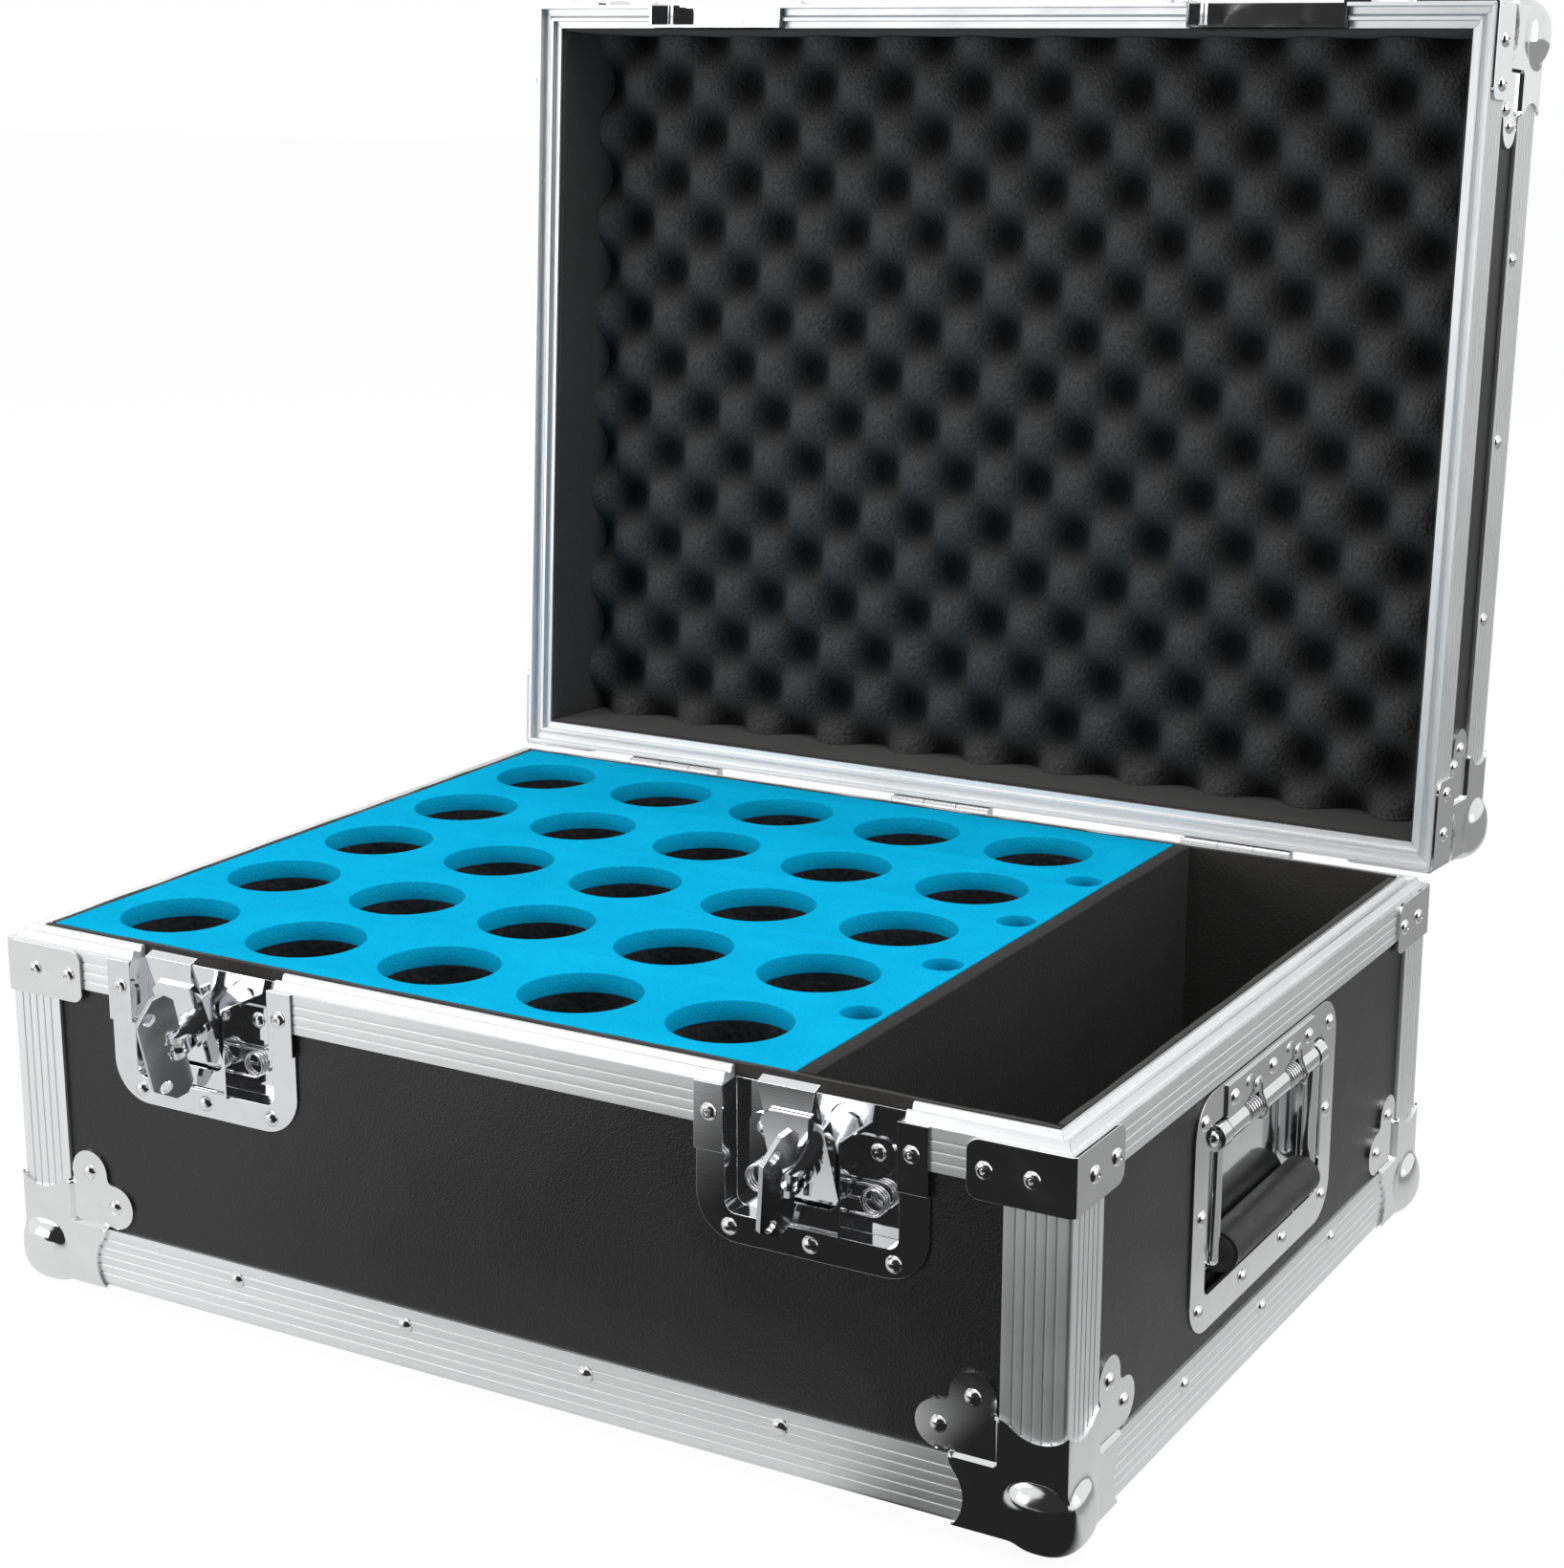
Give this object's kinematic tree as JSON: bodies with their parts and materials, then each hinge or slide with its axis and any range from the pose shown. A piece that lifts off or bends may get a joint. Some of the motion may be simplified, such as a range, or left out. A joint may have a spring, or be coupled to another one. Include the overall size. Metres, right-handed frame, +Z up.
{
  "type": "microphone case",
  "caption": "Transport case with recessed twist latches, folding side handles, a stop-hinged lid, a foam insert with round microphone sockets, an open bay and an egg-crate lid pad.",
  "frame": {"origin": "on the floor under the middle of the base, between the four ball corners it stands on", "axes": "+X to the right when facing the latches, +Y from the latches to the hinges, +Z up; the lid is stored open"},
  "size_m": [0.574, 0.5841, 0.6147],
  "materials": {
    "rivets": "polished",
    "laminate": "fine textured laminate",
    "aluminium": "satin anodised",
    "bright_steel": "bright plated",
    "spring_wire": "drawn wire",
    "wing_plate": "plated",
    "chrome_plate": "polished",
    "grip_rubber": "satin",
    "zinc_steel": "zinc plated",
    "blue_foam": "closed-cell foam",
    "black_foam": "open-cell foam",
    "egg_crate_foam": "open-cell foam",
    "divider_wood": "raw edge",
    "divider_foam": "foam sheet"
  },
  "bodies": {
    "base": {"base_panel_front": "laminate", "base_panel_back": "laminate", "base_panel_left": "laminate", "base_panel_right": "laminate", "base_panel_bottom": "laminate", "base_rim_extrusions": "aluminium", "base_bottom_extrusions": "aluminium", "base_corner_extrusions": "aluminium", "base_corner_brackets": "bright_steel", "base_ball_corners": "bright_steel", "base_rivets": "rivets", "latch_left_dish": "chrome_plate", "latch_left_bracket": "chrome_plate", "latch_right_dish": "chrome_plate", "latch_right_bracket": "chrome_plate", "latch_springs": "spring_wire", "handle_right_dish": "bright_steel", "handle_right_bar": "bright_steel", "handle_left_dish": "bright_steel", "handle_left_bar": "bright_steel", "handle_hinge_rods": "bright_steel", "handle_springs": "spring_wire", "hinge_base_leaves": "zinc_steel", "hinge_pins": "zinc_steel", "base_lining": "black_foam", "floor_pad": "black_foam", "foam_base": "black_foam", "foam_block": "black_foam", "blue_sheet": "blue_foam", "divider": "divider_wood", "divider_cover": "divider_foam"},
    "lid": {"lid_panel_front": "laminate", "lid_panel_back": "laminate", "lid_panel_left": "laminate", "lid_panel_right": "laminate", "lid_panel_top": "laminate", "lid_rim_extrusions": "aluminium", "lid_top_extrusions": "aluminium", "lid_corner_extrusions": "aluminium", "lid_corner_brackets": "bright_steel", "lid_ball_corners": "bright_steel", "lid_rivets": "rivets", "lid_keepers": "chrome_plate", "hinge_lid_leaves": "zinc_steel", "lid_lining": "black_foam", "egg_crate_pad": "egg_crate_foam"},
    "latch_left_carrier": {"latch_left_carrier": "chrome_plate"},
    "latch_left_hook": {"latch_left_hook": "chrome_plate"},
    "latch_left_stud": {"latch_left_stud": "chrome_plate", "latch_left_wing_pin": "chrome_plate"},
    "latch_left_wing": {"latch_left_wing": "wing_plate"},
    "latch_right_carrier": {"latch_right_carrier": "chrome_plate"},
    "latch_right_hook": {"latch_right_hook": "chrome_plate"},
    "latch_right_stud": {"latch_right_stud": "chrome_plate", "latch_right_wing_pin": "chrome_plate"},
    "latch_right_wing": {"latch_right_wing": "wing_plate"},
    "handle_right_bail": {"handle_right_bail": "bright_steel", "handle_right_grip": "grip_rubber"},
    "handle_left_bail": {"handle_left_bail": "bright_steel", "handle_left_grip": "grip_rubber"}
  },
  "joints": [
    {"name": "lid_hinge", "type": "hinge", "parent": "base", "child": "lid", "pos_m": [0, 0.219, 0.1785], "axis": [1, 0, 0], "range_deg": [0, 93.6]},
    {"name": "latch_left_carrier_tilt", "type": "hinge", "parent": "base", "child": "latch_left_carrier", "pos_m": [-0.162, -0.20995, 0.1242], "axis": [-1, 0, 0], "range_deg": [0, 20], "stiffness_Nm_per_rad": 0.05, "springref_deg": -17.19},
    {"name": "latch_left_stud_turn", "type": "hinge", "parent": "latch_left_carrier", "child": "latch_left_stud", "pos_m": [-0.162, -0.22052, 0.15324], "axis": [0, 0.9397, 0.342], "range_deg": [0, 174]},
    {"name": "latch_left_hook_slide", "type": "slide", "parent": "latch_left_carrier", "child": "latch_left_hook", "axis": [0, 0.342, -0.9397], "range_m": [0, 0.006]},
    {"name": "latch_left_wing_fold", "type": "hinge", "parent": "latch_left_stud", "child": "latch_left_wing", "pos_m": [-0.162, -0.23029, 0.14968], "axis": [0.1045, -0.3401, 0.9345], "range_deg": [-68, 22]},
    {"name": "latch_right_carrier_tilt", "type": "hinge", "parent": "base", "child": "latch_right_carrier", "pos_m": [0.162, -0.20995, 0.1242], "axis": [-1, 0, 0], "range_deg": [0, 20], "stiffness_Nm_per_rad": 0.05, "springref_deg": -17.19},
    {"name": "latch_right_stud_turn", "type": "hinge", "parent": "latch_right_carrier", "child": "latch_right_stud", "pos_m": [0.162, -0.22052, 0.15324], "axis": [0, 0.9397, 0.342], "range_deg": [0, 166]},
    {"name": "latch_right_hook_slide", "type": "slide", "parent": "latch_right_carrier", "child": "latch_right_hook", "axis": [0, 0.342, -0.9397], "range_m": [0, 0.006]},
    {"name": "latch_right_wing_fold", "type": "hinge", "parent": "latch_right_stud", "child": "latch_right_wing", "pos_m": [0.162, -0.23029, 0.14968], "axis": [0.2419, -0.3319, 0.9118], "range_deg": [-74, 16]},
    {"name": "handle_right_swing", "type": "hinge", "parent": "base", "child": "handle_right_bail", "pos_m": [0.2775, 0, 0.133], "axis": [0, -1, 0], "range_deg": [0, 90], "stiffness_Nm_per_rad": 0.3, "springref_deg": -11.46},
    {"name": "handle_left_swing", "type": "hinge", "parent": "base", "child": "handle_left_bail", "pos_m": [-0.2775, 0, 0.133], "axis": [0, 1, 0], "range_deg": [0, 90], "stiffness_Nm_per_rad": 0.3, "springref_deg": -11.46}
  ],
  "couplings": [
    {"joint": "latch_left_hook_slide", "follows": "latch_left_stud_turn", "m_per_rad": 0.0019428},
    {"joint": "latch_right_hook_slide", "follows": "latch_right_stud_turn", "m_per_rad": 0.0020364}
  ]
}
